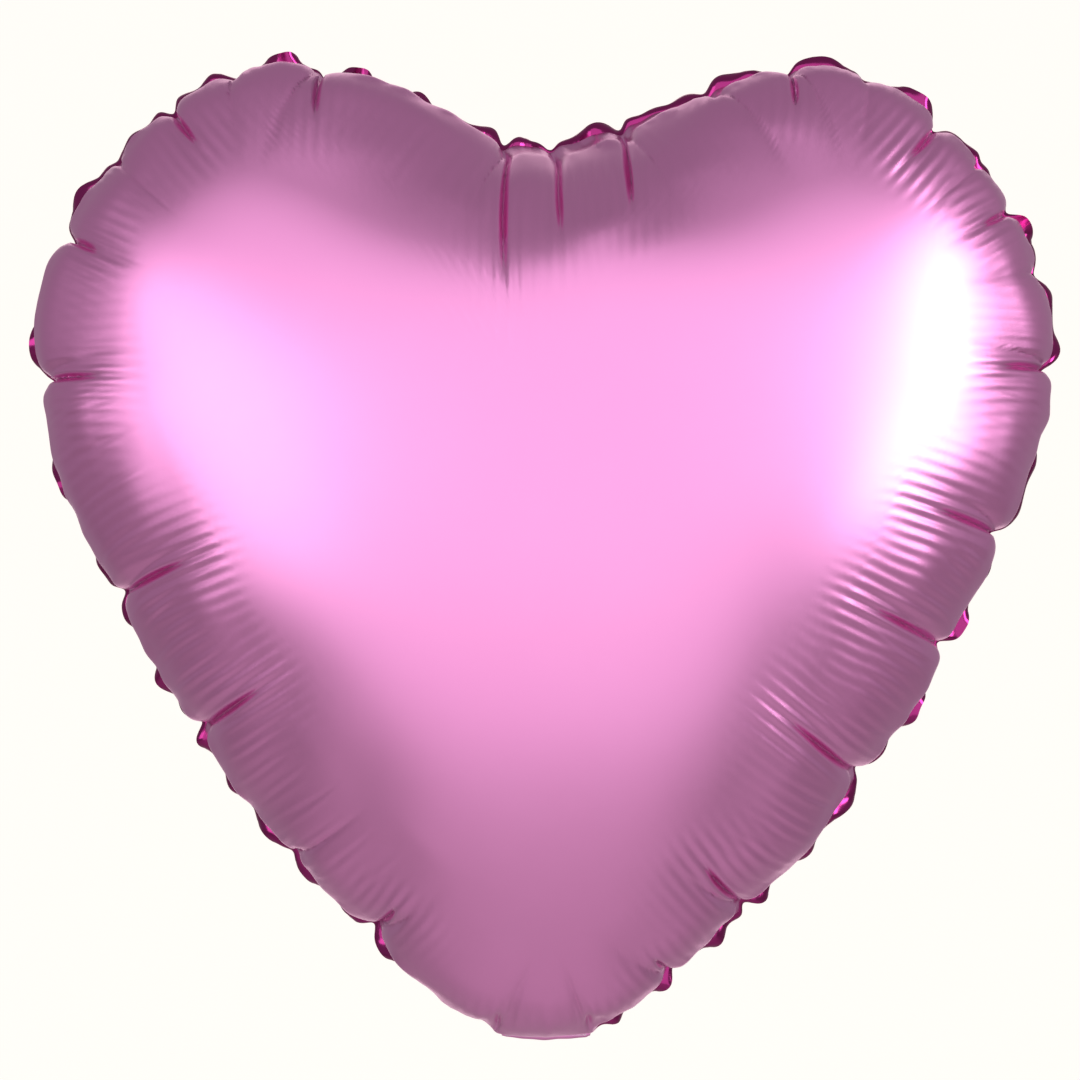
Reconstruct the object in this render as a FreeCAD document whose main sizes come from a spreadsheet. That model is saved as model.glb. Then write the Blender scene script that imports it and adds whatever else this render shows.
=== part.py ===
"""Heart-shaped foil balloon, inflated, with its tail folded up behind it.

Millimetres. +Z is up, the front faces -Y, and +X is to the right of somebody who faces the front.
The origin is at the neck, where the tail leaves the lower edge of the heart and a tie goes round it.
Two sheets of film are welded together round the edge of the heart, and two narrow films between
them make the self-closing valve. Every film is drawn with a stand-in thickness, because real film
is far thinner. The films cross the fold at the neck, so each one is drawn in two pieces there.
"""
import FreeCAD, Part
import math
import os

import Sketcher

doc = FreeCAD.newDocument("foil_balloon")

DIMENSIONS = {
    # half of the heart's outer edge: places to the right of the middle, and heights above the neck
    "notch_height": 334.0,
    "lobe_inner_offset": 45.0,
    "lobe_inner_height": 347.0,
    "lobe_offset": 101.0,
    "lobe_height": 362.6,
    "shoulder_offset": 161.0,
    "shoulder_height": 329.0,
    "widest_offset": 189.4,
    "widest_height": 268.0,
    "flank_offset": 160.0,
    "flank_height": 162.0,
    "lower_flank_offset": 114.0,
    "lower_flank_height": 87.0,
    "foot_offset": 38.0,
    "foot_height": 13.5,
    "neck_offset": 17.0,
    "neck_rise": 1.2,
    # the flat rim, where the two sheets are welded
    "film": 0.5,
    "flange_width": 6.0,
    "flange_lap": 2.0,
    # the puffed sheets
    "puff_wall": 0.8,
    "puff_depth": 92.0,
    "puff_centre_height": 205.0,
    "puff_roundness": 2.1,
    "puff_rim_power": 0.7,
    # the valve
    "valve_width": 30.0,
    "valve_length": 120.0,
    # the tail
    "tail_width": 38.0,
    "tail_length": 70.0,
    "tail_curve_radius": 200.0,
    "tail_start": 2.0,
    "hinge_drop": 0.6,
    "tail_fold_angle": 120.0,
}

OUTLINE_POINTS = [
    ("lobe_inner_offset", "lobe_inner_height"),
    ("lobe_offset", "lobe_height"),
    ("shoulder_offset", "shoulder_height"),
    ("widest_offset", "widest_height"),
    ("flank_offset", "flank_height"),
    ("lower_flank_offset", "lower_flank_height"),
    ("foot_offset", "foot_height"),
    ("neck_offset", "neck_rise"),
]
INSET_SAMPLES = 48
PUFF_SECTIONS = 9
CROWN_SHARE = 0.04
FRONT, BACK = -1, 1


def make_sheet():
    """Every driving dimension in one spreadsheet, with its name in column A and its value in B."""
    sheet = doc.addObject("Spreadsheet::Sheet", "sizes")
    for row, (name, value) in enumerate(DIMENSIONS.items(), start=1):
        sheet.set(f"A{row}", name)
        sheet.set(f"B{row}", str(value))
        sheet.setAlias(f"B{row}", name)
    doc.recompute()
    return sheet


sizes = make_sheet()


def size(name):
    return float(sizes.get(name))


# ------------------------------------------------------------------------------ the heart's outline

def closed_curve(points):
    """A smooth closed curve through points in the middle plane."""
    curve = Part.BSplineCurve()
    curve.interpolate(Points=points, PeriodicFlag=True)
    return curve


def outer_edge():
    """The outer edge of the heart, from the notch down the right side and up the left."""
    right = [(size(offset), size(up)) for offset, up in OUTLINE_POINTS]
    left = [(-offset, up) for offset, up in reversed(right)]
    outline = [(0.0, size("notch_height"))] + right + [(0.0, 0.0)] + left
    return closed_curve([FreeCAD.Vector(x, 0, z) for x, z in outline])


def inset_edge(inset):
    """The outer edge moved inwards by the same distance everywhere."""
    edge = outer_edge()
    points = []
    for step in range(INSET_SAMPLES):
        at = edge.parameterAtDistance(edge.length() * step / INSET_SAMPLES, edge.FirstParameter)
        along = edge.tangent(at)[0].normalize()
        inwards = FreeCAD.Vector(along.z, 0, -along.x)
        points.append(edge.value(at) + inwards * inset)
    return closed_curve(points)


def wire_of(curve):
    return Part.Wire([curve.toShape()])


# ---------------------------------------------------------------------------------- the two sheets

def puff_solid(side, inset, depth):
    """A pillow half: copies of the outline that shrink towards the middle as they rise."""
    rim = wire_of(inset_edge(inset))
    middle = FreeCAD.Vector(0, 0, size("puff_centre_height"))
    start = side * size("film")
    sections = []
    for step in range(PUFF_SECTIONS):
        turn = math.pi / 2 * step / (PUFF_SECTIONS - 1)
        share = CROWN_SHARE + (1 - CROWN_SHARE) * math.cos(turn)
        height = depth * (1 - share ** size("puff_roundness")) ** size("puff_rim_power")
        section = rim.copy()
        section.scale(share, middle)
        section.translate(FreeCAD.Vector(0, start + side * height, 0))
        sections.append(section)
    return Part.makeLoft(sections, True, False)


def flat_rim(side):
    """The flat band of one sheet round the heart, open at the neck where the valve comes out."""
    outer = Part.Face(wire_of(outer_edge()))
    inner = Part.Face(wire_of(inset_edge(size("flange_width") + size("flange_lap"))))
    band = outer.cut(inner).extrude(FreeCAD.Vector(0, side * size("film"), 0))
    neck_height = 4 * size("flange_width")
    neck = Part.makeBox(
        size("valve_width"), 4 * size("film"), neck_height,
        FreeCAD.Vector(-size("valve_width") / 2, -2 * size("film"), -neck_height / 2),
    )
    return band.cut(neck)


def make_sheet_panel(label, side):
    """One sheet of the heart: its puffed middle as a thin shell, and its flat rim."""
    wall = size("puff_wall")
    outside = puff_solid(side, size("flange_width"), size("puff_depth"))
    inside = puff_solid(side, size("flange_width") + wall, size("puff_depth") - wall)
    panel = doc.addObject("Part::Feature", label)
    panel.Shape = outside.cut(inside).fuse(flat_rim(side)).removeSplitter()
    panel.Placement = FreeCAD.Placement()
    panel.Label = label
    return panel


# -------------------------------------------------------------------------------- the valve's films

def new_body(label):
    body = doc.addObject("PartDesign::Body", label)
    body.Label = label
    return body


def new_sketch(body, name, plane):
    sketch = body.newObject("Sketcher::SketchObject", name)
    origin = next(part for part in body.Origin.OriginFeatures if part.Role == plane)
    sketch.AttachmentSupport = [(origin, "")]
    sketch.MapMode = "FlatFace"
    return sketch


def bind(sketch, kind, where, value, formula):
    """Adds one dimension to a sketch, and binds it to the spreadsheet."""
    number = sketch.addConstraint(Sketcher.Constraint(kind, *where, value))
    sketch.setExpression(f"Constraints[{number}]", formula)


def centred_rectangle(sketch, width, length, formulas):
    """A rectangle that stands on the sketch's X axis with its middle on the Y axis."""
    corners = [(-width / 2, 0), (width / 2, 0), (width / 2, length), (-width / 2, length)]
    points = [FreeCAD.Vector(x, y, 0) for x, y in corners]
    for here, there in zip(points, points[1:] + points[:1]):
        sketch.addGeometry(Part.LineSegment(here, there), False)
    for line in range(4):
        sketch.addConstraint(Sketcher.Constraint("Coincident", line, 2, (line + 1) % 4, 1))
    for kind, line in (("Horizontal", 0), ("Horizontal", 2), ("Vertical", 1), ("Vertical", 3)):
        sketch.addConstraint(Sketcher.Constraint(kind, line))
    sketch.addConstraint(Sketcher.Constraint("Symmetric", 0, 1, 0, 2, -1, 1))
    bind(sketch, "DistanceX", (0, 1, 0, 2), width, formulas[0])
    bind(sketch, "DistanceY", (1, 1, 1, 2), length, formulas[1])


def make_valve_film(label, side):
    """One film of the valve, from the lower edge of the heart up into the balloon."""
    body = new_body(label)
    sketch = new_sketch(body, f"{label}_outline", "XZ_Plane")
    centred_rectangle(
        sketch, size("valve_width"), size("valve_length"),
        ("sizes.valve_width", "sizes.valve_length"),
    )
    pad = body.newObject("PartDesign::Pad", f"{label}_pad")
    pad.Profile = sketch
    pad.Length = size("film")
    pad.setExpression("Length", "sizes.film")
    pad.Reversed = side == BACK
    return body


# ------------------------------------------------------------------------------- the tail's films

def tail_placement():
    """Drawn hanging down from its fold, then turned up behind the heart."""
    hinge = FreeCAD.Vector(0, 0, -size("hinge_drop"))
    return FreeCAD.Placement(hinge, FreeCAD.Rotation(FreeCAD.Vector(1, 0, 0), size("tail_fold_angle")))


def curved_strip(sketch, layer, formulas):
    """The side view of one film of the tail: a strip between two arcs about one centre."""
    radius = size("tail_curve_radius")
    sweep = size("tail_length") / radius
    start = -size("tail_start")
    near = radius + layer * size("film")
    far = near + size("film")
    centre = FreeCAD.Vector(radius, start, 0)
    normal = FreeCAD.Vector(0, 0, 1)
    for reach in (near, far):
        arc = Part.ArcOfCircle(Part.Circle(centre, normal, reach), math.pi, math.pi + sweep)
        sketch.addGeometry(arc, False)

    def end(reach, turn):
        return centre + FreeCAD.Vector(math.cos(turn), math.sin(turn), 0) * reach

    for turn in (math.pi, math.pi + sweep):
        sketch.addGeometry(Part.LineSegment(end(near, turn), end(far, turn)), False)
    for line, point in ((2, 1), (3, 2)):
        sketch.addConstraint(Sketcher.Constraint("Coincident", line, 1, 0, point))
        sketch.addConstraint(Sketcher.Constraint("Coincident", line, 2, 1, point))
    sketch.addConstraint(Sketcher.Constraint("Coincident", 0, 3, 1, 3))
    sketch.addConstraint(Sketcher.Constraint("Horizontal", 2))
    bind(sketch, "DistanceX", (-1, 1, 0, 3), radius, "sizes.tail_curve_radius")
    bind(sketch, "DistanceY", (0, 3, -1, 1), -start, "sizes.tail_start")
    bind(sketch, "Radius", (0,), near, formulas[0])
    bind(sketch, "Radius", (1,), far, formulas[1])
    bind(sketch, "DistanceY", (0, 2, 0, 1), near * math.sin(sweep), formulas[2])


def make_tail_film(label, layer, width_name):
    """One film of the tail. Layers count from the middle of the tail: 0 and 1 are on its front."""
    body = new_body(label)
    sketch = new_sketch(body, f"{label}_side", "YZ_Plane")
    near = f"(sizes.tail_curve_radius + {layer} * sizes.film)"
    far = f"(sizes.tail_curve_radius + {layer + 1} * sizes.film)"
    drop = f"{near} * sin(sizes.tail_length / sizes.tail_curve_radius * 1 rad)"
    curved_strip(sketch, layer, (near, far, drop))
    pad = body.newObject("PartDesign::Pad", f"{label}_pad")
    pad.Profile = sketch
    pad.Length = size(width_name)
    pad.setExpression("Length", f"sizes.{width_name}")
    pad.SideType = "Symmetric"
    body.Placement = tail_placement()
    return body


# --------------------------------------------------------------------------------------- the parts

parts = [
    make_sheet_panel("front_panel", FRONT),
    make_sheet_panel("back_panel", BACK),
    make_valve_film("valve_front_film", FRONT),
    make_valve_film("valve_back_film", BACK),
    make_tail_film("tail_front_film", 1, "tail_width"),
    make_tail_film("inlet_front_film", 0, "valve_width"),
    make_tail_film("inlet_back_film", -1, "valve_width"),
    make_tail_film("tail_back_film", -2, "tail_width"),
]
doc.recompute()

for thing in doc.Objects:
    faults = {"Invalid", "Error"} & set(thing.State)
    if faults:
        raise RuntimeError(f"{thing.Label} is {faults}")

os.makedirs("parts", exist_ok=True)
for part in parts:
    shape = part.Shape
    if shape.isNull() or not shape.isValid() or not shape.Solids:
        raise RuntimeError(f"{part.Label} has no valid solid")
    shape.exportStep(f"parts/{part.Label}.step")
    box = shape.BoundBox
    print(
        part.Label, len(shape.Solids), "solid", round(shape.Volume), "mm3",
        [round(number, 1) for number in (box.XMin, box.YMin, box.ZMin, box.XMax, box.YMax, box.ZMax)],
    )
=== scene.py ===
"""Heart-shaped foil balloon, inflated, with its tail folded up behind it.

Metres, in the CAD model's frame: +Z up, the front faces -Y, the origin at the neck.
The film is cut flat, larger than the inflated heart. A small film solver gives only its smooth inflated
shape. The creases, the puffs between them, the ripples and the lobes of the welded rim aren't results
of the solver: the functions below lay them in, at the places listed. They add area to the film that a
real one, which hardly stretches, would not have.
"""
import math

import bpy
import numpy as np
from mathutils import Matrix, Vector
from mathutils.bvhtree import BVHTree
from mathutils.geometry import delaunay_2d_cdt
from mathutils.kdtree import KDTree


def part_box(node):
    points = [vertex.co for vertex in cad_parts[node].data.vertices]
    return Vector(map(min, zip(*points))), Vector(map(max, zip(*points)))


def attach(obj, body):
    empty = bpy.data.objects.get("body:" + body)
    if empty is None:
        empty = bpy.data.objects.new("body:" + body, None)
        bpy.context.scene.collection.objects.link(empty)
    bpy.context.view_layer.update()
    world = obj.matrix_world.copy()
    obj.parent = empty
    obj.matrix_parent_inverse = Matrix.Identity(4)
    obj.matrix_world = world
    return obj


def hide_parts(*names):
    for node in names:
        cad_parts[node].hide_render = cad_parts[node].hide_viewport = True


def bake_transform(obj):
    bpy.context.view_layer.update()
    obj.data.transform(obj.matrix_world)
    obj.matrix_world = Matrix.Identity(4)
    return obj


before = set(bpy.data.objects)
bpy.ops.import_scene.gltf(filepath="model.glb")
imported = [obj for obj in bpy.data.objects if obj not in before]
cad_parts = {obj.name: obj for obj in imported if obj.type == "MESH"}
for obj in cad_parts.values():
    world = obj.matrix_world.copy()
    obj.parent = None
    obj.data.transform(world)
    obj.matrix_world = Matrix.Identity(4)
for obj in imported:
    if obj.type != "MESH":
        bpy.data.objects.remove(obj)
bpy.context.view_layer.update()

FRONT_LOW, FRONT_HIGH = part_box("front_panel")

# the heart: FLAT_GROWTH is how much larger the flat film is than the inflated outline, and
# ROUNDNESS bends the pillow's height into a fuller cross-section
HALF_DEPTH = -FRONT_LOW.y
FLANGE = 0.006
MIDDLE = np.array([0.0, 0.2])
FLAT_GROWTH = 1.16
RIM_STEEPNESS = 5
ROUNDNESS = 0.72

# the film solver
COARSE_STEP = 0.007
LEVELS = 2
RIM_SMOOTHING = 0.014
RIM_HOLD = 0.3
DAMPING = 0.97
# one row for each level: steps, first and last pressure, how stiff the film is against being
# squeezed, and how stiff it is against bending
PHASES = [
    (140, 0.05, 0.02, 0.01, 0.6),
    (140, 0.04, 0.015, 0.02, 0.6),
]

# the finished film: columns along the weld, and rows inwards, with half the columns at each ring
COLUMNS = 2048
RIM_ROWS = 42
RIM_BAND = 0.36
INNER_RINGS = [(0.5, 7), (0.36, 5), (0.24, 4), (0.14, 4), (0.07, 3), (0.03, 2)]
RIPPLE_LENGTH = 0.0047
RIPPLE_HEIGHT = 0.00020
CREASE_WIDTH = 0.0008
CREASE_DEPTH = 0.0056
NECK_HALF_WIDTH = 0.0185
NECK_HEIGHT = 0.0006
NECK_ARCH = 0.0014
EVENING = 0.012

# how the gathered weld wanders: heights, and lengths of the waves along it
WANDER_OUT = 0.0008
WANDER_OUT_WAVE = (0.0004, 0.018)
WANDER_SIDE_LONG = (0.0016, 0.045)
WANDER_SIDE_SHORT = (0.0008, 0.020)
PULL_AT_CREASE = 0.0030
PULL_WIDTH = 0.0026

# the puffs between the creases
PUFF_SHARE = 0.09
PUFF_MOST = 0.0046
PUFF_POWER = 0.42
PUFF_FADE = (0.009, 0.062)

# the welded rim
FLANGE_ROWS = 5
FLANGE_TILT = 1.05
FLANGE_TILT_WAVE = (0.5, 0.032)
FLANGE_LOBE_WAVE = (0.0007, 0.022)

# the ridge and the reach of the flat band at the neck
NECK_REACH = 0.034
RIDGE_HEIGHT = 0.0024
RIDGE_WIDTH = 0.0024

# the tail, along an arc in part.py's own frame, then turned about the hinge to its folded rest
TAIL_LENGTH = 0.070
TAIL_RADIUS = 0.200
TAIL_START = 0.002
TAIL_TURN = math.radians(120)
HINGE = np.array([0.0, -0.0006])
TAIL_SEAL = 0.003
TAIL_ROOM = 0.0026
TAIL_ROWS = 90
TAIL_COLUMNS = 61

# the clear films of the valve
SLIP_HALF_WIDTH = 0.0149
SLIP_LENGTH = 0.1195
SLIP_START = 0.0008
SLIP_GAP = 0.00008
SLIP_SLACK = 0.00005
SLIP_ROWS = 60
SLIP_COLUMNS = 21

# creases: place along the rim as a share of its length, clockwise from the notch, then length
# inwards on the film, lean in degrees, and strength
CREASES = [
    (0.001, 0.060, 0, 0.8),
    (0.024, 0.056, -4, 0.9),
    (0.054, 0.016, 0, 0.4),
    (0.081, 0.040, 0, 0.9),
    (0.106, 0.016, 0, 0.45),
    (0.134, 0.046, 0, 1.0),
    (0.152, 0.016, 0, 0.5),
    (0.170, 0.038, 0, 1.0),
    (0.192, 0.014, 0, 0.4),
    (0.224, 0.048, 0, 1.0),
    (0.279, 0.056, 0, 1.0),
    (0.318, 0.058, 0, 1.0),
    (0.366, 0.064, 0, 1.0),
    (0.423, 0.050, 0, 1.0),
    (0.454, 0.030, 0, 0.7),
    (0.4845, 0.026, 0, 0.7),
    (0.5155, 0.026, 0, 0.7),
    (0.565, 0.036, 0, 0.9),
    (0.600, 0.016, 0, 0.45),
    (0.651, 0.054, 0, 1.0),
    (0.700, 0.056, 0, 1.0),
    (0.771, 0.050, 0, 1.0),
    (0.818, 0.040, 0, 1.0),
    (0.848, 0.014, 0, 0.4),
    (0.872, 0.044, 0, 1.0),
    (0.896, 0.014, 0, 0.4),
    (0.925, 0.044, 0, 1.0),
    (0.986, 0.080, 5, 1.0),
]
# stretches of the rim with fine ripples: first and last place, and how strong
RIPPLES = [
    (0.925, 1.045, 0.4),
    (0.20, 0.27, 0.5),
    (0.279, 0.318, 1.0),
    (0.318, 0.366, 1.0),
    (0.366, 0.430, 1.0),
    (0.55, 0.66, 0.7),
    (0.651, 0.70, 1.0),
    (0.70, 0.78, 0.8),
]


# ------------------------------------------------------------------------------- outlines in 2-D

def polar(points):
    """Angle clockwise from straight up, and distance, of points about the heart's middle."""
    away = points - MIDDLE
    return np.arctan2(away[:, 0], away[:, 1]), np.hypot(away[:, 0], away[:, 1])


def resample(outline, count):
    """count points at equal steps along a closed outline, and its length."""
    closed = np.vstack([outline, outline[:1]])
    steps = np.linalg.norm(np.diff(closed, axis=0), axis=1)
    along = np.concatenate([[0.0], np.cumsum(steps)])
    places = np.arange(count) / count * along[-1]
    return np.stack([np.interp(places, along, closed[:, k]) for k in (0, 1)], 1), along[-1]


def outward_normals(outline):
    """Unit normals of a closed outline that runs clockwise."""
    along = np.roll(outline, -1, 0) - np.roll(outline, 1, 0)
    along /= np.linalg.norm(along, axis=1)[:, None]
    return np.stack([-along[:, 1], along[:, 0]], 1)


def cad_weld_line():
    """The line of the weld: the CAD model's outer edge, moved in by the flange's width."""
    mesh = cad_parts["front_panel"].data
    corners = np.array([corner.co for corner in mesh.vertices])
    ends = np.array([edge.vertices[:] for edge in mesh.edges])
    ends = ends[np.abs(corners[ends, 1]).max(1) < 1e-5]
    shares = np.linspace(0, 1, 21)[:, None, None]
    along = corners[ends[:, 0]] * (1 - shares) + corners[ends[:, 1]] * shares
    angle, reach = polar(along.reshape(-1, 3)[:, [0, 2]])
    directions = np.linspace(-math.pi, math.pi, 240, endpoint=False)
    nearest_direction = np.rint((angle + math.pi) / (2 * math.pi) * 240).astype(int) % 240
    radius = np.zeros(240)
    np.maximum.at(radius, nearest_direction, reach)
    found = radius > 0
    radius = np.interp(directions, directions[found], radius[found], period=2 * math.pi)
    blur = np.exp(-0.5 * (np.arange(-8, 9) / 2.0) ** 2)
    around = np.concatenate([radius[-8:], radius, radius[:8]])
    radius = np.convolve(around, blur / blur.sum(), "valid")
    directions = np.roll(directions, 120) % (2 * math.pi)
    radius = np.roll(radius, 120)
    edge = MIDDLE + radius[:, None] * np.stack([np.sin(directions), np.cos(directions)], 1)
    edge = resample(edge, 400)[0]
    return edge - FLANGE * outward_normals(edge)


def inside(outline, points):
    """Which points lie inside a closed outline."""
    crossings = np.zeros(len(points), int)
    for (x0, z0), (x1, z1) in zip(outline, np.roll(outline, -1, 0)):
        spans = (z0 > points[:, 1]) != (z1 > points[:, 1])
        with np.errstate(divide="ignore", invalid="ignore"):
            meets = x0 + (points[:, 1] - z0) * (x1 - x0) / (z1 - z0)
        crossings += spans & (points[:, 0] < meets)
    return crossings % 2 == 1


def nearest(points, outline):
    """Distance from each point to the nearest point of an outline."""
    squares = ((points[:, None] - outline[None]) ** 2).sum(2)
    return np.sqrt(squares.min(1))


# ---------------------------------------------------------------------------- triangle mesh tools

def unique_edges(faces):
    """Each edge once, and, for edges between two triangles, the two corners across it."""
    sides = np.vstack([faces[:, [0, 1]], faces[:, [1, 2]], faces[:, [2, 0]]])
    across = np.concatenate([faces[:, 2], faces[:, 0], faces[:, 1]])
    edges, place, uses = np.unique(
        np.sort(sides, 1), axis=0, return_inverse=True, return_counts=True
    )
    order = np.argsort(place.ravel(), kind="stable")
    first = np.concatenate([[0], np.cumsum(uses)[:-1]])
    paired = uses == 2
    opposite = np.stack([across[order[first[paired]]], across[order[first[paired] + 1]]], 1)
    return edges, edges[paired], opposite, edges[uses == 1]


def subdivided(faces, values):
    """Four triangles from each one, with every per-point array averaged onto the new points."""
    count = len(values[0])
    sides = np.sort(np.vstack([faces[:, [0, 1]], faces[:, [1, 2]], faces[:, [2, 0]]]), 1)
    edges, place = np.unique(sides, axis=0, return_inverse=True)
    a, b, c = faces.T
    ab, bc, ca = count + place.ravel().reshape(3, -1)
    split = [(a, ab, ca), (ab, b, bc), (ca, bc, c), (ab, bc, ca)]
    finer = np.vstack([np.stack(corners, 1) for corners in split])
    grown = [np.concatenate([v, (v[edges[:, 0]] + v[edges[:, 1]]) / 2]) for v in values]
    return finer, grown


def colour_groups(pairs, count):
    """Groups of pairs that share no point, so that each group is solved in one go."""
    used = [0] * count
    colour = np.empty(len(pairs), int)
    for k, (a, b) in enumerate(pairs.tolist()):
        taken = used[a] | used[b]
        free = (~taken & (taken + 1)).bit_length() - 1
        colour[k] = free
        used[a] |= 1 << free
        used[b] |= 1 << free
    return [np.where(colour == c)[0] for c in range(colour.max() + 1)]


def flat_pattern(weld, step):
    """The cut film: the weld ring, a lattice inside it, and the flange outside it."""
    count = int(round(resample(weld, 400)[1] / step / 2)) * 2
    ring, _ = resample(weld, count)
    rows = np.arange(ring[:, 1].min(), ring[:, 1].max(), step * math.sqrt(3) / 2)
    columns = np.arange(ring[:, 0].min() - step, ring[:, 0].max() + step, step)
    lattice = np.vstack([
        np.stack([columns + (row % 2) * step / 2, np.full_like(columns, height)], 1)
        for row, height in enumerate(rows)
    ])
    lattice = lattice[inside(ring, lattice)]
    lattice = lattice[nearest(lattice, ring) > 0.55 * step]
    points = np.vstack([ring, lattice])
    corners = [Vector(point) for point in points]
    triangles = delaunay_2d_cdt(corners, [], [list(range(count))], 1, 1e-9)[2]
    body = np.array([list(triangle) for triangle in triangles])
    first = len(points)
    here = np.arange(count)
    there = (here + 1) % count
    flange = np.vstack([
        np.stack([here, there, first + here], 1),
        np.stack([there, first + there, first + here], 1),
    ])
    points = np.vstack([points, ring + FLANGE * outward_normals(ring)])
    return points, facing(points, body), facing(points, flange), count


def facing(points, faces):
    """The faces, all turned the same way round."""
    a, b, c = (points[faces[:, k]] for k in range(3))
    turn = (b[:, 0] - a[:, 0]) * (c[:, 1] - a[:, 1]) - (b[:, 1] - a[:, 1]) * (c[:, 0] - a[:, 0])
    return np.where((turn < 0)[:, None], faces[:, ::-1], faces)


# ----------------------------------------------------------------------------------- the film

FRONT, BACK, RIM = 0, 1, 2


class Film:
    """Two heart-shaped films welded round the edge, and how the solver sees them."""

    def __init__(self, weld):
        self.angle, self.reach = polar(weld)
        order = np.argsort(self.angle)
        self.angle, self.reach = self.angle[order], self.reach[order]
        pattern = MIDDLE + (weld - MIDDLE) * FLAT_GROWTH
        points, body, flange, ring = flat_pattern(pattern, COARSE_STEP)
        self.rim_length = resample(weld, 400)[1]
        count = len(points)
        inner = np.zeros(count, bool)
        inner[ring:count - ring] = True
        twin = np.arange(count)
        twin[inner] = count + np.arange(inner.sum())
        share = np.arange(ring) / ring * 2 * math.pi
        turn = np.stack([np.cos(share), np.sin(share)], 1)
        self.flat = np.vstack([points, points[inner]])
        self.faces = np.vstack([body, twin[body[:, ::-1]], flange])
        self.part = np.repeat([FRONT, BACK, RIM], [len(body), len(body), len(flange)])
        total = len(self.flat)
        self.turn = np.zeros((total, 2))
        self.turn[:ring] = turn
        self.turn[count - ring:count] = turn
        self.rim = np.zeros(total)
        self.rim[:ring] = 1
        self.rim[count - ring:count] = 1
        self.outside = np.zeros(total)
        self.outside[count - ring:count] = 1
        self.side = np.zeros(total)
        self.side[:count][inner] = -1
        self.side[count:] = 1
        self.rise = np.zeros(total)
        self.pull = 0.0
        self.points = None

    def refine(self):
        values = [self.points, self.flat, self.turn, self.rim, self.outside, self.side, self.rise]
        self.faces, values = subdivided(self.faces, values)
        self.points, self.flat, self.turn, self.rim, self.outside, self.side, self.rise = values
        self.part = np.tile(self.part, 4)
        self.rim = np.where(self.rim > 0.99, 1.0, 0.0)
        self.side = np.sign(self.side)

    def relax_rise(self, rounds):
        """The pillow's height, as a soap film blown up over the flat heart, worked out in rounds."""
        body = self.faces[self.part != RIM]
        a, b = unique_edges(body)[0].T
        ends, starts = np.concatenate([a, b]), np.concatenate([b, a])
        count = len(self.flat)
        degree = np.bincount(ends, minlength=count)
        free = (self.rim == 0) & (degree > 0)
        for _ in range(rounds):
            around = np.bincount(ends, self.rise[starts], count)
            mean = (around + self.pull) / np.maximum(degree, 1)
            self.rise = np.where(free, 0.5 * (self.rise + mean), 0.0)

    def solve_rise(self):
        """The same height on the coarse film, solved at once by conjugate gradients."""
        body = self.faces[self.part != RIM]
        a, b = unique_edges(body)[0].T
        ends, starts = np.concatenate([a, b]), np.concatenate([b, a])
        count = len(self.flat)
        degree = np.bincount(ends, minlength=count).astype(float)
        free = (self.rim == 0) & (degree > 0)

        def spread(values):
            return np.where(free, degree * values - np.bincount(ends, values[starts], count), 0.0)

        height = np.zeros(count)
        error = free.astype(float)
        along = error.copy()
        size = error @ error
        while size > 1e-12 * count:
            spreading = spread(along)
            step = size / (along @ spreading)
            height += step * along
            error -= step * spreading
            fresh = error @ error
            along = error + fresh / size * along
            size = fresh
        self.rise = height / height.max()
        self.pull = 1.0 / height.max()

    def puffed(self):
        """Where the smooth inflated film would be, and how far out each point is, as a share."""
        angle, distance = polar(self.flat)
        reach = np.interp(angle, self.angle, self.reach, period=2 * math.pi)
        share = distance / (FLAT_GROWTH * reach)
        drawn = share * (FLAT_GROWTH - (FLAT_GROWTH - 1) * np.minimum(share, 1) ** RIM_STEEPNESS)
        drawn = np.where(share < 1, drawn, 1 + (share - 1) * FLAT_GROWTH)
        scale = drawn * reach / np.maximum(distance, 1e-9)
        spread = MIDDLE + (self.flat - MIDDLE) * scale[:, None]
        height = self.side * HALF_DEPTH * np.maximum(self.rise, 0) ** ROUNDNESS
        return np.column_stack([spread[:, 0], height, spread[:, 1]]), share

    def rest_lengths(self, edges, smooth, share):
        """Lengths on the smooth shape, longer along the rim, where the flat film has more to spare."""
        a, b = edges.T
        length = np.linalg.norm(smooth[a] - smooth[b], axis=1)
        middle = (self.flat[a] + self.flat[b]) / 2
        angle, _ = polar(middle)
        reach = [np.interp(angle + d, self.angle, self.reach, period=2 * math.pi) for d in (0.02, -0.02)]
        along = np.stack([
            reach[0] * np.sin(angle + 0.02) - reach[1] * np.sin(angle - 0.02),
            reach[0] * np.cos(angle + 0.02) - reach[1] * np.cos(angle - 0.02),
        ], 1)
        along /= np.linalg.norm(along, axis=1)[:, None]
        across = self.flat[a] - self.flat[b]
        lined_up = (across * along).sum(1) ** 2 / (across ** 2).sum(1)
        out = np.minimum((share[a] + share[b]) / 2, 1)
        spare = FLAT_GROWTH / (FLAT_GROWTH - (FLAT_GROWTH - 1) * out ** RIM_STEEPNESS) - 1
        return length * (1 + spare * lined_up)

    def smooth(self, rounds):
        """Evens out the body, so that the solver's triangles don't show."""
        body = self.faces[self.part != RIM]
        a, b = unique_edges(body)[0].T
        ends, starts = np.concatenate([a, b]), np.concatenate([b, a])
        count = len(self.flat)
        degree = np.maximum(np.bincount(ends, minlength=count), 1)
        free = (self.rim == 0)[:, None]
        for turn in range(2 * rounds):
            around = np.stack([np.bincount(ends, self.points[starts, k], count) for k in range(3)], 1)
            reach = 0.5 if turn % 2 == 0 else -0.5
            self.points = self.points + np.where(free, reach * (around / degree[:, None] - self.points), 0)

    def place_on_rim(self, points):
        turn = self.turn[points]
        return np.arctan2(turn[:, 1], turn[:, 0]) / (2 * math.pi) % 1.0


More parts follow.
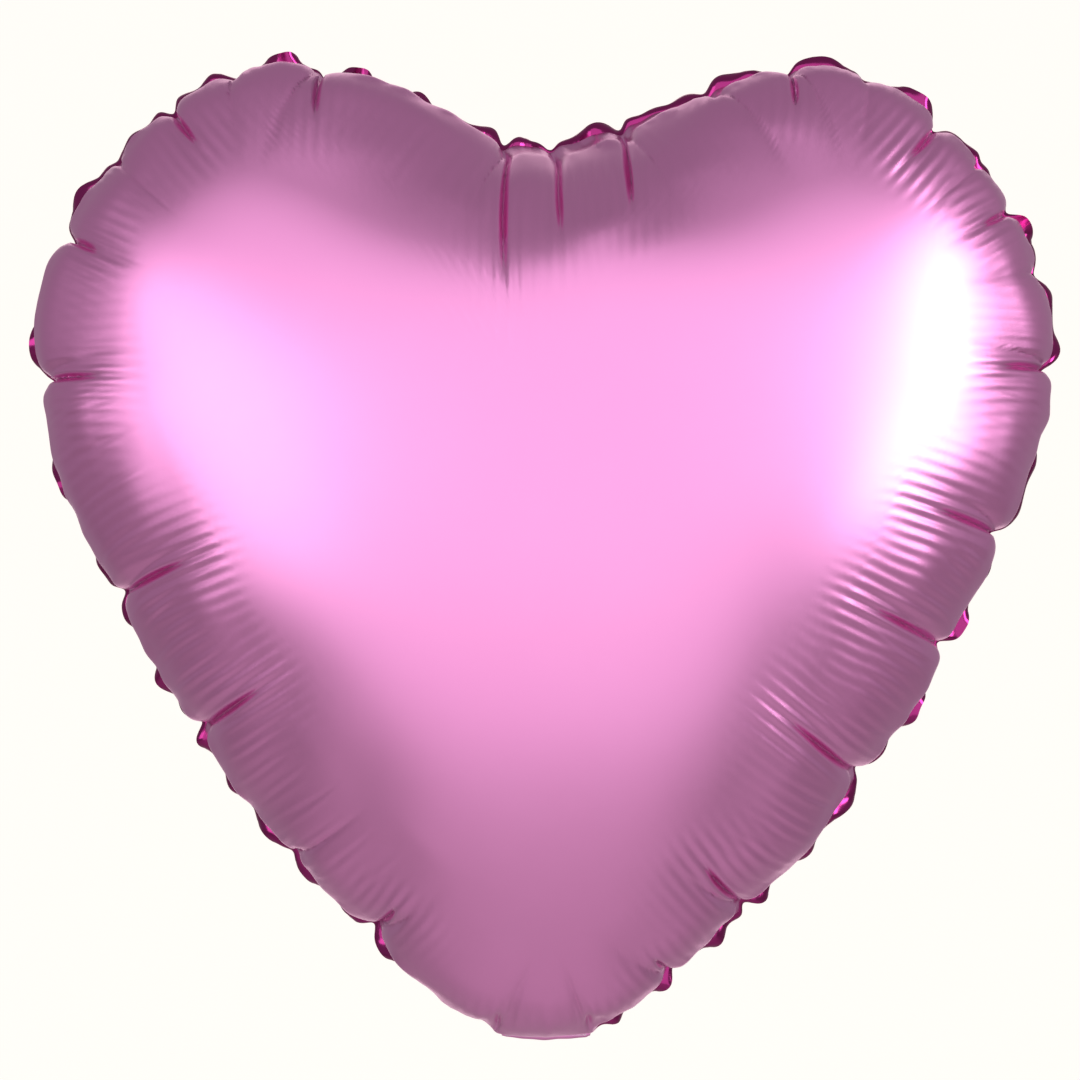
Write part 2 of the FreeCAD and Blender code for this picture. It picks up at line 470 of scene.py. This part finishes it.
def crossing_lengths(edges, lengths, hinges, opposite, count):
    """Rest distance between the two corners across each hinge, with the film flat there."""
    keys = edges[:, 0].astype(np.int64) * count + edges[:, 1]
    order = np.argsort(keys)
    keys, lengths = keys[order], lengths[order]

    def between(p, q):
        key = np.minimum(p, q).astype(np.int64) * count + np.maximum(p, q)
        return lengths[np.searchsorted(keys, key)]

    a, b = hinges.T
    base = between(a, b)
    corners = []
    for tip in opposite.T:
        near, far = between(a, tip), between(b, tip)
        along = (near ** 2 + base ** 2 - far ** 2) / (2 * base)
        corners.append((along, np.sqrt(np.maximum(near ** 2 - along ** 2, 1e-12))))
    (x0, y0), (x1, y1) = corners
    return np.hypot(x0 - x1, y0 + y1)


def inflate(film, level):
    """Blows the film up at one level of detail."""
    steps, first, last, squeeze, bend = PHASES[level]
    smooth, share = film.puffed()
    if film.points is None:
        film.points = smooth.copy()
        film.points[:, 1] += np.random.default_rng(5).normal(0, 0.0002, len(smooth))
    points = film.points
    count = len(points)
    edges, hinges, opposite, _ = unique_edges(film.faces)
    lengths = film.rest_lengths(edges, smooth, share)
    spans = crossing_lengths(edges, lengths, hinges, opposite, count)
    groups = [(edges[g, 0], edges[g, 1], lengths[g]) for g in colour_groups(edges, count)]
    folds = [(opposite[g, 0], opposite[g, 1], spans[g]) for g in colour_groups(opposite, count)]
    body = film.faces[film.part != RIM]
    corners = body.ravel(order="F")
    ring = np.where((film.rim == 1) & (film.outside == 0))[0]
    ring = ring[np.argsort(film.place_on_rim(ring))]
    rates = np.fft.rfftfreq(len(ring)) * RIM_SMOOTHING / film.rim_length * len(ring)
    keep = np.exp(-2 * (math.pi * rates) ** 2)[:, None]

    def broad(values):
        return np.fft.irfft(np.fft.rfft(values, axis=0) * keep, len(ring), axis=0)

    aim = broad(smooth[ring])
    speed = np.zeros_like(points)
    for step in range(steps):
        pressure = first * (last / first) ** min(1.0, step / (steps * 0.8))
        a, b, c = (points[body[:, k]] for k in range(3))
        push = np.cross(b - a, c - a) / 6 * 5
        force = np.stack([np.bincount(corners, np.tile(push[:, k], 3), count) for k in range(3)], 1)
        speed = speed * DAMPING + force * pressure
        before = points.copy()
        points += speed
        for i, j, rest in groups:
            away = points[i] - points[j]
            distance = np.sqrt(np.einsum("ij,ij->i", away, away))
            over = distance - rest
            give = np.where(over > 0, 0.5, 0.5 * squeeze) * over / np.maximum(distance, 1e-9)
            away *= give[:, None]
            points[i] -= away
            points[j] += away
        for i, j, rest in folds:
            away = points[i] - points[j]
            distance = np.sqrt(np.einsum("ij,ij->i", away, away))
            under = np.minimum(distance - rest, 0)
            away *= (0.5 * bend * under / np.maximum(distance, 1e-9))[:, None]
            points[i] -= away
            points[j] += away
        points[ring] += RIM_HOLD * (aim - broad(points[ring]))
        speed = points - before
    film.points = points


def inflated_film(weld):
    film = Film(weld)
    film.solve_rise()
    for level in range(LEVELS):
        if level:
            film.refine()
            film.pull /= 4
            film.relax_rise(30)
        inflate(film, level)
    film.refine()
    film.smooth(12)
    return film


# --------------------------------------------------------------------- creases, ripples and rim

def eased(low, high, values):
    """0 below low, 1 above high, and a smooth step between."""
    share = np.clip((values - low) / (high - low), 0, 1)
    return share * share * (3 - 2 * share)


def wobble(places, whole, period, seed):
    """A smooth random wave along the rim, between about -1 and 1, that closes on itself."""
    random = np.random.default_rng(seed)
    middle = whole / period
    waves = np.arange(max(1, int(0.6 * middle)), int(1.5 * middle) + 2)
    strength = random.normal(0, 1, (2, len(waves))) / math.sqrt(len(waves))
    turn = 2 * math.pi * places[:, None] / whole * waves
    return np.cos(turn) @ strength[0] + np.sin(turn) @ strength[1]


class Grid:
    """Columns along the weld and rows from it to the middle, laid over the flat film."""

    def __init__(self, weld):
        self.ring, self.whole = resample(weld, COLUMNS)
        shares = 1 - np.linspace(0, 1, RIM_ROWS) ** 1.35 * RIM_BAND
        rows = [(share, 1) for share in shares]
        skip = 1
        for end, count in INNER_RINGS:
            skip *= 2
            start = rows[-1][0]
            rows += [(start + (end - start) * (k + 1) / count, skip) for k in range(count)]
        self.share, self.column, faces = [], [], []
        first = 0
        for share, skip in rows:
            columns = np.arange(0, COLUMNS, skip)
            if first:
                faces += self.strip(last_first, last_skip, first, skip)
            self.share.append(np.full(len(columns), share))
            self.column.append(columns)
            last_first, last_skip = first, skip
            first += len(columns)
        self.share.append([0.0])
        self.column.append([0])
        inner = COLUMNS // last_skip
        faces += [(last_first + k, last_first + (k + 1) % inner, first) for k in range(inner)]
        self.share = np.concatenate(self.share)
        self.column = np.concatenate(self.column)
        self.faces = faces
        self.flat = MIDDLE + (self.ring[self.column] - MIDDLE) * (FLAT_GROWTH * self.share)[:, None]
        self.rim_place_and_depth()

    @staticmethod
    def strip(outer, outer_skip, inner, inner_skip):
        """Faces between two rows. Where the inner row has half the columns, three meet each one."""
        count = COLUMNS // outer_skip
        if outer_skip == inner_skip:
            return [
                (outer + k, outer + (k + 1) % count, inner + (k + 1) % count, inner + k)
                for k in range(count)
            ]
        half = count // 2
        faces = []
        for k in range(half):
            near, far = inner + k, inner + (k + 1) % half
            start, middle, end = outer + 2 * k, outer + 2 * k + 1, outer + (2 * k + 2) % count
            faces += [(start, middle, near), (middle, end, far), (middle, far, near)]
        return faces

    def rim_place_and_depth(self):
        """For each point, the nearest place along the weld and the distance to it, on the flat film."""
        rim = MIDDLE + (self.ring - MIDDLE) * FLAT_GROWTH
        tree = KDTree(COLUMNS)
        for k, (x, z) in enumerate(rim):
            tree.insert((x, z, 0), k)
        tree.balance()
        index = np.array([tree.find((x, z, 0))[1] for x, z in self.flat])
        best = np.full(len(self.flat), np.inf)
        self.place = np.zeros(len(self.flat))
        for side in (0, -1):
            start = (index + side) % COLUMNS
            run = rim[(start + 1) % COLUMNS] - rim[start]
            along = ((self.flat - rim[start]) * run).sum(1) / (run ** 2).sum(1)
            along = np.clip(along, 0, 1)
            away = np.hypot(*(self.flat - rim[start] - along[:, None] * run).T)
            self.place = np.where(away < best, (start + along) / COLUMNS, self.place)
            best = np.minimum(best, away)
        self.place = self.place % 1
        self.depth = best
        self.rim = rim
        self.out = outward_normals(rim)

    def sampled(self, film, part):
        """The solved film, read at the grid's places, without the waves of the solver's coarse rim."""
        faces = film.faces[film.part == part]
        flat = np.column_stack([film.flat, np.zeros(len(film.flat))])
        tree = BVHTree.FromPolygons(flat.tolist(), faces.tolist())
        found = [tree.find_nearest((x, z, 0)) for x, z in self.flat]
        places = np.array([(hit[0].x, hit[0].y) for hit in found])
        corners = faces[[hit[2] for hit in found]]
        a, b, c = (film.flat[corners[:, k]] for k in range(3))
        whole = cross(b - a, c - a)
        weights = np.stack([cross(b - places, c - places), cross(c - places, a - places)], 1)
        weights /= whole[:, None]
        weights = np.column_stack([weights, 1 - weights.sum(1)])
        start = film.puffed()[0]
        solved = np.einsum("ij,ijk->ik", weights, film.points[corners])
        started = np.einsum("ij,ijk->ik", weights, start[corners])
        return started + self.evened(solved - started, EVENING)

    def normals(self, points):
        """Unit normals, outwards from the gas."""
        total = np.zeros_like(points)
        for size in (3, 4):
            faces = np.array([face for face in self.faces if len(face) == size])
            normal = np.cross(points[faces[:, 2]] - points[faces[:, 0]],
                              points[faces[:, -1]] - points[faces[:, 1]])
            for corner in faces.T:
                for k in range(3):
                    total[:, k] += np.bincount(corner, normal[:, k], len(points))
        total /= np.maximum(np.linalg.norm(total, axis=1), 1e-12)[:, None]
        middle = points.mean(0)
        return total if ((points - middle) * total).sum() > 0 else -total

    def evened(self, values, scale):
        """The values with waves along the weld shorter than about the scale taken out, row by row."""
        even = values.copy()
        first = 0
        while first < len(values) - 1:
            count = int((self.share == self.share[first]).sum())
            row = slice(first, first + count)
            rates = np.arange(count // 2 + 1) / self.whole
            keep = np.exp(-2 * (math.pi * rates * scale) ** 2)[:, None]
            even[row] = np.fft.irfft(np.fft.rfft(values[row], axis=0) * keep, count, axis=0)
            first += count
        return even


def cross(a, b):
    return a[:, 0] * b[:, 1] - a[:, 1] * b[:, 0]


def neck_arch(x):
    """The neck's lower edge rises a little towards its corners."""
    return NECK_ARCH * (x / NECK_HALF_WIDTH) ** 2


def neck_share(grid, places):
    """1 across the neck, where the films run on into the tail, and 0 elsewhere along the weld."""
    return 1 - eased(NECK_HALF_WIDTH - 0.001, NECK_HALF_WIDTH + 0.006, np.abs(places - 0.5) * grid.whole)


def rim_shift(grid, places):
    """How the gathered weld leaves its even line: outwards, and front to back."""
    along = places * grid.whole
    height, period = WANDER_OUT_WAVE
    outwards = WANDER_OUT + height * wobble(along, grid.whole, period, 3)
    height, period = WANDER_SIDE_LONG
    sideways = height * wobble(along, grid.whole, period, 4)
    height, period = WANDER_SIDE_SHORT
    sideways = sideways + height * wobble(along, grid.whole, period, 5)
    for place, _, _, weight in CREASES:
        away = ((places - place + 0.5) % 1 - 0.5) * grid.whole
        outwards -= PULL_AT_CREASE * weight * np.exp(-(away / PULL_WIDTH) ** 2)
    neck = neck_share(grid, places)
    return outwards * (1 - neck), sideways * (1 - neck)


def puffs(grid):
    """The film bulges between one crease and the next."""
    marks = np.array([crease[0] for crease in CREASES])
    index = np.searchsorted(marks, grid.place)
    before = np.where(index == 0, marks[-1] - 1, marks[index - 1])
    after = np.where(index == len(marks), marks[0] + 1, marks[index % len(marks)])
    gap = (after - before) * grid.whole
    share = (grid.place - before) / (after - before)
    height = np.minimum(PUFF_SHARE * gap, PUFF_MOST)
    bulge = height * np.maximum(1 - (2 * share - 1) ** 2, 0) ** PUFF_POWER
    return bulge * eased(0, 0.007, grid.depth) * (1 - eased(*PUFF_FADE, grid.depth))


def creased(grid, lengths):
    """Sharp creases inwards from the weld, with a fan of small ripples beside each one."""
    total = np.zeros(len(grid.flat))
    for (place, _, lean, weight), length in zip(CREASES, lengths):
        column = int(round(place * COLUMNS)) % COLUMNS
        start = grid.rim[column]
        out = grid.out[column] + (start - MIDDLE) / np.linalg.norm(start - MIDDLE)
        out /= np.linalg.norm(out)
        turn = math.radians(lean)
        across = np.array([out[1], -out[0]])
        inwards = across * math.sin(turn) - out * math.cos(turn)
        away = grid.flat - start
        down = away @ inwards
        beside = np.abs(away[:, 0] * inwards[1] - away[:, 1] * inwards[0])
        reach = (1 - eased(0.55 * length, 0.95 * length, down)) * (down > -0.01)
        opening = 0.65 + 0.35 * eased(0.15 * length, 0.5 * length, down)
        slit = 0.75 * np.exp(-(beside / (CREASE_WIDTH * opening)) ** 2) + 0.25 * np.exp(-beside / 0.0022)
        total -= CREASE_DEPTH * weight * reach * slit
        total -= 0.0006 * weight * reach * np.exp(-(beside / 0.005) ** 2)
        window = eased(0.25 * length, 0.6 * length, down) * (1 - eased(0.9 * length, 1.35 * length, down))
        fan = np.cos(2 * math.pi * beside / RIPPLE_LENGTH) * np.exp(-beside / 0.011)
        total -= 2.0 * RIPPLE_HEIGHT * weight * window * fan
    return total


def rippled(grid, zones, seed):
    """Fine ripples square to the weld, a little uneven, in the stretches given."""
    along = grid.place * grid.whole
    strength = np.zeros(len(along))
    for first, last, weight in zones:
        centre, half = (first + last) / 2, (last - first) / 2
        away = np.abs((grid.place - centre + 0.5) % 1 - 0.5)
        strength = np.maximum(strength, weight * (1 - eased(0.75 * half, 1.1 * half, away)))
    uneven = 0.75 + 0.35 * wobble(along, grid.whole, 0.012, seed)
    shift = 0.004 * wobble(along, grid.whole, 0.009, seed + 1)
    window = eased(0.010, 0.026, grid.depth + shift) * (1 - eased(0.034, 0.052, grid.depth + shift))
    phase = 2 * math.pi * along / RIPPLE_LENGTH + 0.8 * wobble(along, grid.whole, 0.05, seed + 2)
    return RIPPLE_HEIGHT * strength * uneven * window * np.cos(phase)


def neck_ridge(grid):
    """The soft ridge that stands on the front, in the middle of the neck."""
    ridge = np.exp(-((grid.flat[:, 0] - 0.001) / RIDGE_WIDTH) ** 2) * (grid.flat[:, 1] < 0.1)
    return ridge * RIDGE_HEIGHT * (1 - eased(0.012, 0.036, grid.depth)) * eased(0, 0.004, grid.depth)


def finished_film(film, grid, part):
    """The solved film with its creases, puffs and ripples."""
    points = grid.sampled(film, part)
    normal = grid.normals(points)
    random = np.random.default_rng(20 + part)
    lengths = [crease[1] * (1 if part == FRONT else random.uniform(0.7, 1.25)) for crease in CREASES]
    if part == FRONT:
        zones = RIPPLES
    else:
        zones = []
        for first, last, weight in RIPPLES:
            mirrored = (1 - last) % 1
            zones.append((mirrored, mirrored + last - first, weight))
    height = puffs(grid) + creased(grid, lengths) + rippled(grid, zones, 30 + 10 * part)
    neck = neck_share(grid, grid.place) * (1 - eased(0, NECK_REACH, grid.depth))
    height *= eased(0, 0.004, grid.depth) * (1 - 0.9 * neck)
    points = points + normal * height[:, None]
    outwards, sideways = rim_shift(grid, grid.place)
    fade = 1 - eased(0, 0.014, grid.depth)
    column = np.rint(grid.place * COLUMNS).astype(int) % COLUMNS
    out = grid.out[column]
    points += np.column_stack([out[:, 0] * outwards, sideways, out[:, 1] * outwards]) * fade[:, None]
    points[:, 2] += (NECK_HEIGHT + neck_arch(points[column, 0]) - points[column, 2]) * neck
    points[:, 1] *= 1 - 0.55 * neck
    if part == FRONT:
        points[:, 1] -= neck_ridge(grid)
    return points


def flange_strip(grid, weld):
    """The welded rim: a narrow strip outside the weld, thrown into lobes, with a gap at the neck."""
    rows = FLANGE_ROWS
    places = np.arange(COLUMNS) / COLUMNS
    along = places * grid.whole
    amount, period = FLANGE_TILT_WAVE
    tilt = FLANGE_TILT + amount * wobble(along, grid.whole, period, 6)
    height, period = FLANGE_LOBE_WAVE
    lobes = height * wobble(along, grid.whole, period, 8)
    out = np.column_stack([grid.out[:, 0], np.zeros(COLUMNS), grid.out[:, 1]])
    width = FLANGE * eased(NECK_HALF_WIDTH, NECK_HALF_WIDTH + 0.008, np.abs(places - 0.5) * grid.whole)
    for place, _, _, weight in CREASES:
        away = ((places - place + 0.5) % 1 - 0.5) * grid.whole
        width *= 1 - 0.6 * weight * np.exp(-(away / 0.005) ** 2)
    points = []
    for row in range(rows):
        share = row / (rows - 1)
        reach = width * share
        step = out * (reach * np.cos(tilt * share))[:, None]
        step[:, 1] += reach * np.sin(tilt * share) + lobes * share
        points.append(weld + step)
    near = np.abs(places - 0.5) * grid.whole < NECK_HALF_WIDTH
    columns = [k for k in range(COLUMNS) if not near[k]]
    faces = [
        (row * COLUMNS + k, row * COLUMNS + (k + 1) % COLUMNS,
         (row + 1) * COLUMNS + (k + 1) % COLUMNS, (row + 1) * COLUMNS + k)
        for row in range(rows - 1) for k in columns
    ]
    return np.vstack(points), faces


# ------------------------------------------------------------------------------------- the tail

def tail_arc(along):
    """Middle line of the folded tail, as y and z, and its unit normal, away from the envelope."""
    angle = along / TAIL_RADIUS
    place = np.stack([TAIL_RADIUS * (1 - np.cos(angle)), -TAIL_START - TAIL_RADIUS * np.sin(angle)], -1)
    normal = np.stack([-np.cos(angle), -np.sin(angle)], -1)
    cosine, sine = math.cos(TAIL_TURN), math.sin(TAIL_TURN)
    turn = np.array([[cosine, sine], [-sine, cosine]])
    return place @ turn + HINGE, normal @ turn


def make_room_for_tail(points):
    """The back film lies in under the tail, which is folded up against it."""
    along = np.linspace(0, 1.5 * TAIL_LENGTH, 60)
    place, _ = tail_arc(along)
    allowed = np.interp(points[:, 2], place[:, 1], place[:, 0]) - TAIL_ROOM
    allowed += 0.05 * eased(0.020, 0.045, np.abs(points[:, 0]))
    allowed += 0.05 * eased(0.045, 0.080, points[:, 2])
    allowed = np.maximum(allowed, 0.0002)
    soft = 0.0008
    nearer = np.minimum(points[:, 1], allowed)
    blended = nearer - soft * np.log1p(np.exp(-np.abs(points[:, 1] - allowed) / soft))
    points[:, 1] = np.where(points[:, 1] > 0.0004, np.maximum(blended, 0.0002), points[:, 1])
    return points


def strip_faces(rows, columns):
    """The faces of a plain grid of points."""
    return [
        (r * columns + c, r * columns + c + 1, (r + 1) * columns + c + 1, (r + 1) * columns + c)
        for r in range(rows - 1) for c in range(columns - 1)
    ]


def tail_film(side):
    """One film of the tail: from the neck, round the fold, and up behind the envelope."""
    fold = np.array([[0.0, NECK_HEIGHT], [0.0001, 0.0002], [0.0005, -0.0002], [0.0011, -0.0001]])
    place, normal = tail_arc(np.linspace(0, TAIL_LENGTH, TAIL_ROWS))
    path = np.vstack([fold, place])
    square = np.vstack([[[0, 0], [-0.3, -0.5], [0.1, -1], [0.3, -0.9]], normal])
    along = np.concatenate([[0.0], np.cumsum(np.linalg.norm(np.diff(path, axis=0), axis=1))])
    across = np.linspace(-1, 1, TAIL_COLUMNS)
    s, u = np.meshgrid(along, across, indexing="ij")
    x = u * (NECK_HALF_WIDTH - 0.0022 * (1 - eased(0, 0.015, s)))
    seal = NECK_HALF_WIDTH - TAIL_SEAL
    inner = 1 - eased(seal - 0.001, seal + 0.001, np.abs(x))
    gathers = 0.0006 * np.cos(2 * math.pi * x / 0.0085 + 9 * s / TAIL_LENGTH) * np.exp(-s / 0.02)
    waves = 0.0005 * np.sin(2 * math.pi * (s / 0.023 + 0.4 * u))
    waves += 0.0004 * np.sin(2 * math.pi * (s / 0.009 - 1.3 * u))
    swell = np.sin(2 * math.pi * (s / 0.017 + side * 0.3 + 0.7 * u))
    fullness = 0.0003 + 0.0011 * inner * (1 + 0.25 * swell)
    away = (0.3 * (gathers + waves) + side * fullness) * eased(0, 0.003, s)
    row = np.arange(len(path))[:, None] * np.ones(len(across), int)
    up = path[row, 1] + away * square[row, 1] + neck_arch(x) * (1 - eased(0.003, 0.014, s))
    points = np.stack([x, path[row, 0] + away * square[row, 0], up], -1)
    faces = strip_faces(len(path), len(across))
    if side < 0:
        faces = [face[::-1] for face in faces]
    return points.reshape(-1, 3), faces


def slip_film(side, path, normal):
    """One clear film of the valve along a path of y and z: it lies close on its partner, a little slack."""
    across = np.linspace(-1, 1, SLIP_COLUMNS)
    row, u = np.meshgrid(np.arange(len(path)), across, indexing="ij")
    away = side * (SLIP_GAP + SLIP_SLACK * (1 + np.sin(0.3 * row + 3 * u)))
    points = np.stack([
        u * SLIP_HALF_WIDTH,
        path[row, 0] + away * normal[row, 0],
        path[row, 1] + away * normal[row, 1],
    ], -1)
    return points.reshape(-1, 3), strip_faces(len(path), len(across))


# ------------------------------------------------------------------------------------ materials

def new_material(name):
    material = bpy.data.materials.new(name)
    material.use_nodes = True
    nodes, links = material.node_tree.nodes, material.node_tree.links
    return material, nodes, links, nodes["Principled BSDF"]


def foil_material(name, colour, deep, roughness, grain):
    """Satin metallised film: a tinted mirror with fine rolled grain and a clear skin."""
    material, nodes, links, shader = new_material(name)
    shader.inputs["Metallic"].default_value = 1.0
    shader.inputs["Coat Weight"].default_value = 0.12
    shader.inputs["Coat Roughness"].default_value = 0.25
    place = nodes.new("ShaderNodeTexCoord")
    stretch = nodes.new("ShaderNodeMapping")
    stretch.inputs["Scale"].default_value = (900, 900, 260)
    links.new(place.outputs["Object"], stretch.inputs["Vector"])
    fine = nodes.new("ShaderNodeTexNoise")
    fine.inputs["Scale"].default_value = 1.0
    fine.inputs["Detail"].default_value = 3.0
    links.new(stretch.outputs["Vector"], fine.inputs["Vector"])
    broad = nodes.new("ShaderNodeTexNoise")
    broad.inputs["Scale"].default_value = 14.0
    broad.inputs["Detail"].default_value = 4.0
    links.new(place.outputs["Object"], broad.inputs["Vector"])
    tint = nodes.new("ShaderNodeMix")
    tint.data_type = "RGBA"
    tint.inputs["A"].default_value = (*colour, 1)
    tint.inputs["B"].default_value = (*deep, 1)
    links.new(broad.outputs["Fac"], tint.inputs["Factor"])
    links.new(tint.outputs["Result"], shader.inputs["Base Color"])
    satin = nodes.new("ShaderNodeMapRange")
    satin.inputs["To Min"].default_value = roughness - grain
    satin.inputs["To Max"].default_value = roughness + grain
    links.new(fine.outputs["Fac"], satin.inputs["Value"])
    links.new(satin.outputs["Result"], shader.inputs["Roughness"])
    bump = nodes.new("ShaderNodeBump")
    bump.inputs["Strength"].default_value = 0.06
    bump.inputs["Distance"].default_value = 0.00005
    links.new(fine.outputs["Fac"], bump.inputs["Height"])
    links.new(bump.outputs["Normal"], shader.inputs["Normal"])
    return material


def clear_film_material(name):
    """Thin clear film with faint milky streaks."""
    material, nodes, links, shader = new_material(name)
    shader.inputs["Base Color"].default_value = (0.93, 0.94, 0.95, 1)
    shader.inputs["Alpha"].default_value = 0.35
    shader.inputs["Coat Weight"].default_value = 0.3
    place = nodes.new("ShaderNodeTexCoord")
    streaks = nodes.new("ShaderNodeTexNoise")
    streaks.inputs["Scale"].default_value = 60.0
    streaks.inputs["Distortion"].default_value = 0.6
    links.new(place.outputs["Object"], streaks.inputs["Vector"])
    spread = nodes.new("ShaderNodeMapRange")
    spread.inputs["To Min"].default_value = 0.12
    spread.inputs["To Max"].default_value = 0.3
    links.new(streaks.outputs["Fac"], spread.inputs["Value"])
    links.new(spread.outputs["Result"], shader.inputs["Roughness"])
    return material


SATIN = foil_material("satin_pink_foil", (0.93, 0.36, 0.72), (0.90, 0.33, 0.68), 0.36, 0.03)
# the welded rim is the same film as the body, glossier, and with its colour painted much darker: painted
# shade for the dark surroundings it reflects edge-on
RIM_FOIL_PAINTED_SHADE = foil_material("rim_foil_glossy_painted_shade", (0.42, 0.035, 0.22), (0.32, 0.02, 0.15), 0.2, 0.03)
CLEAR = clear_film_material("clear_valve_film")


# --------------------------------------------------------------------------------------- pieces

def add_mesh(name, points, faces, material):
    mesh = bpy.data.meshes.new(name)
    mesh.from_pydata(points.tolist(), [], [tuple(map(int, face)) for face in faces])
    mesh.materials.append(material)
    mesh.shade_smooth()
    piece = bpy.data.objects.new(name, mesh)
    bpy.context.scene.collection.objects.link(piece)
    return piece


def envelope_piece(name, points, faces, material, slot, *nodes):
    piece = add_mesh(name, points, faces, material)
    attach(piece, "envelope")
    if nodes:
        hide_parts(*nodes)
    return piece


def make_envelope():
    weld = cad_weld_line()
    film = inflated_film(weld)
    grid = Grid(weld)
    front = finished_film(film, grid, FRONT)
    back = finished_film(film, grid, BACK)
    back[COLUMNS:] = make_room_for_tail(back[COLUMNS:])
    rim, rim_faces = flange_strip(grid, front[:COLUMNS])
    used, rim_faces = np.unique(np.array(rim_faces), return_inverse=True)
    inside_out = [face[::-1] for face in grid.faces]
    for piece in (
        envelope_piece("front_film", front, grid.faces, SATIN, "front_foil", "front_panel"),
        envelope_piece("back_film", back, inside_out, SATIN, "back_foil", "back_panel"),
    ):
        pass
    # the rim gets the foil whose dark colour is painted shade
    envelope_piece("welded_rim", rim[used], rim_faces.reshape(-1, 4), RIM_FOIL_PAINTED_SHADE, "back_foil")


def make_tail():
    for side, name in ((1, "tail_front_film"), (-1, "tail_back_film")):
        piece = add_mesh(name.replace("film", "foil"), *tail_film(side), SATIN)
        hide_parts(name)
        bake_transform(piece)


def make_valve():
    """The clear strips: inside the envelope above the neck, and between the foils of the tail."""
    upright = np.stack([np.zeros(SLIP_ROWS), np.linspace(SLIP_START, SLIP_LENGTH, SLIP_ROWS)], -1)
    forward = np.tile([-1.0, 0.0], (SLIP_ROWS, 1))
    folded, outward = tail_arc(np.linspace(SLIP_START, TAIL_LENGTH, SLIP_ROWS))
    for part, body, path, normal, held in (
        ("valve", "envelope", upright, forward, "laid"),
        ("inlet", "tail", folded, outward, "folded"),
    ):
        for side, place in ((1, "front"), (-1, "back")):
            piece = add_mesh(f"{part}_{place}_strip", *slip_film(side, path, normal), CLEAR)
            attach(piece, body)
            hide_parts(f"{part}_{place}_film")


make_envelope()
make_tail()
make_valve()


# ------------------------------------------------------------------------- floor, light, camera

AIM = Vector((0.0, 0.0, (FRONT_LOW.z + FRONT_HIGH.z) / 2))


def backdrop():
    """A pale floor, and a bright pale wall behind it, joined by a sweep."""
    floor, wall, sweep, height = -2.4, 6.5, 1.0, 4.5
    turns = np.linspace(0, math.pi / 2, 13)
    curve = [(wall - sweep + sweep * math.sin(t), floor + sweep - sweep * math.cos(t)) for t in turns]
    for name, profile, half_width, tone, glow in (
        ("pale_floor", [(-9.0, floor), curve[0]], 9.0, 0.7, 0.0),
        ("pale_wall", curve + [(wall, height)], 2.0, 0.2, 0.97),
    ):
        points = np.array([(x, y, z) for y, z in profile for x in (-half_width, half_width)])
        faces = np.array([(2 * k, 2 * k + 1, 2 * k + 3, 2 * k + 2) for k in range(len(profile) - 1)])
        material, _, _, shader = new_material(name)
        shader.inputs["Base Color"].default_value = (tone, tone * 0.97, tone * 0.95, 1)
        shader.inputs["Roughness"].default_value = 0.9
        shader.inputs["Emission Color"].default_value = (1.0, 0.93, 0.885, 1)
        shader.inputs["Emission Strength"].default_value = glow
        add_mesh(name, points, faces, material)


def soft_light(name, place, energy, size, aim=AIM, colour=(1, 1, 1)):
    light = bpy.data.lights.new(name, "AREA")
    light.energy = energy
    light.shape = "RECTANGLE"
    light.size, light.size_y = size
    light.color = colour
    lamp = bpy.data.objects.new(name, light)
    bpy.context.scene.collection.objects.link(lamp)
    lamp.location = AIM + Vector(place)
    lamp.rotation_mode = "QUATERNION"
    lamp.rotation_quaternion = (aim - lamp.location).to_track_quat("-Z", "Y")


def camera():
    """Straight on from the front, from far enough away that the heart shows little perspective."""
    distance, width_seen, sensor = 2.2, 0.3995, 36
    lens = bpy.data.cameras.new("camera")
    lens.lens = sensor * distance / width_seen
    lens.sensor_width = sensor
    eye = bpy.data.objects.new("camera", lens)
    bpy.context.scene.collection.objects.link(eye)
    eye.location = AIM + Vector((-0.0022, -distance, 0.0024))
    eye.rotation_euler = (math.pi / 2, 0, 0)
    bpy.context.scene.camera = eye


def surroundings():
    world = bpy.data.worlds.new("studio")
    world.use_nodes = True
    world.node_tree.nodes["Background"].inputs["Color"].default_value = (0.95, 0.93, 0.95, 1)
    world.node_tree.nodes["Background"].inputs["Strength"].default_value = 0.29
    bpy.context.scene.world = world
    bpy.context.scene.view_settings.view_transform = "Standard"


backdrop()
soft_light("wide_front", (0.0, -2.9, 0.45), 82, (4.6, 6.0))
soft_light("soft_left", (-1.8, -1.5, 0.25), 13, (1.2, 1.8))
soft_light("strong_right", (1.7, -1.0, 0.45), 21, (0.7, 1.6))
camera()
surroundings()
